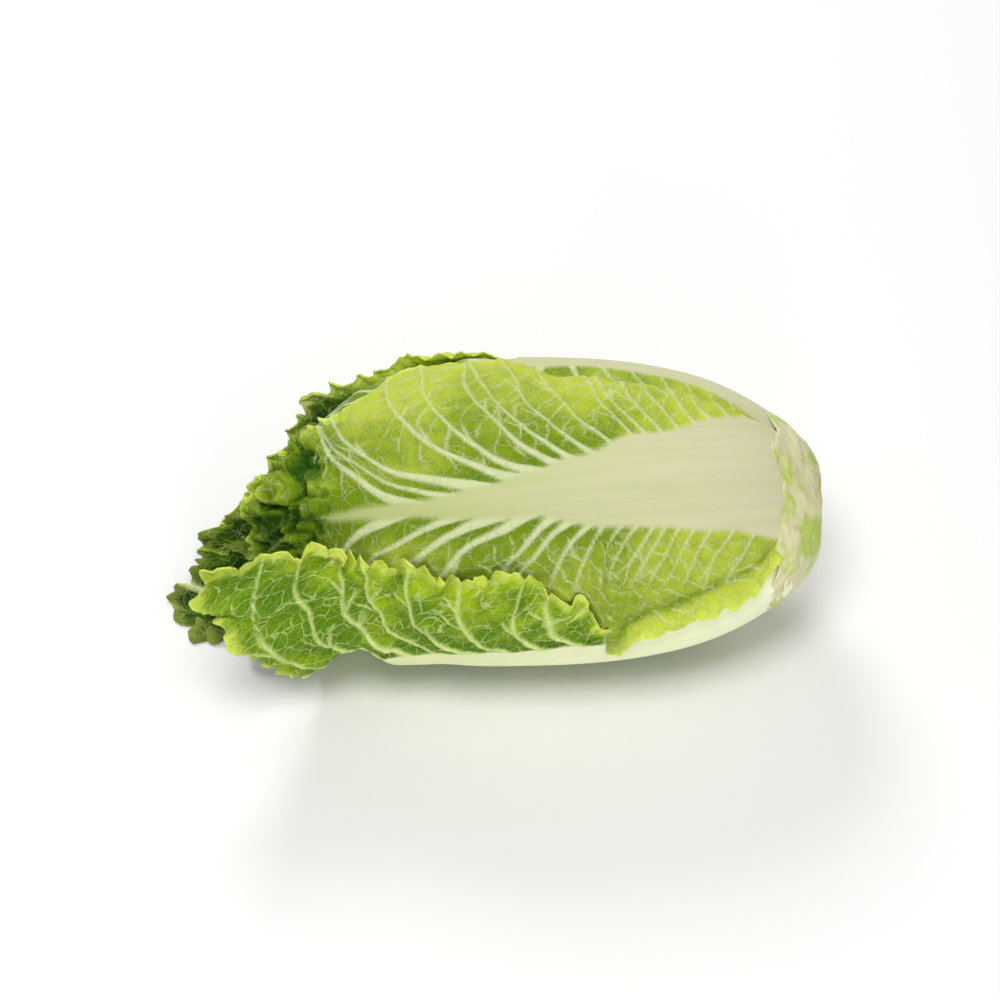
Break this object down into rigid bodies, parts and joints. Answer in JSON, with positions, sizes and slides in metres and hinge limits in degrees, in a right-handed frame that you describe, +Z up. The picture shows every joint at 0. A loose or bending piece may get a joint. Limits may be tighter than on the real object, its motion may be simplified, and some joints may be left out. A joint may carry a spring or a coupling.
{
  "type": "napa cabbage",
  "caption": "Long head of napa cabbage lying on its side, with broad white ribs, wrapped leaves, ruffled tips that stand open at the crown and a cut stem.",
  "frame": {"origin": "on the surface that the head lies on, under the middle of its bounding box", "axes": "+X along the head towards the cut stem, +Z up"},
  "size_m": [0.2996, 0.1435, 0.1371],
  "materials": {
    "heart": "satin",
    "outer_leaf": "satin",
    "wrapper_leaf": "satin",
    "inner_leaf": "satin"
  },
  "bodies": {
    "root": {"heart_and_stem": "heart", "leaf_1_outermost": "outer_leaf", "leaf_2": "outer_leaf", "leaf_3": "wrapper_leaf", "leaf_4": "outer_leaf", "leaf_5": "wrapper_leaf", "leaf_6": "inner_leaf", "leaf_7": "inner_leaf", "leaf_8": "inner_leaf"}
  },
  "joints": []
}
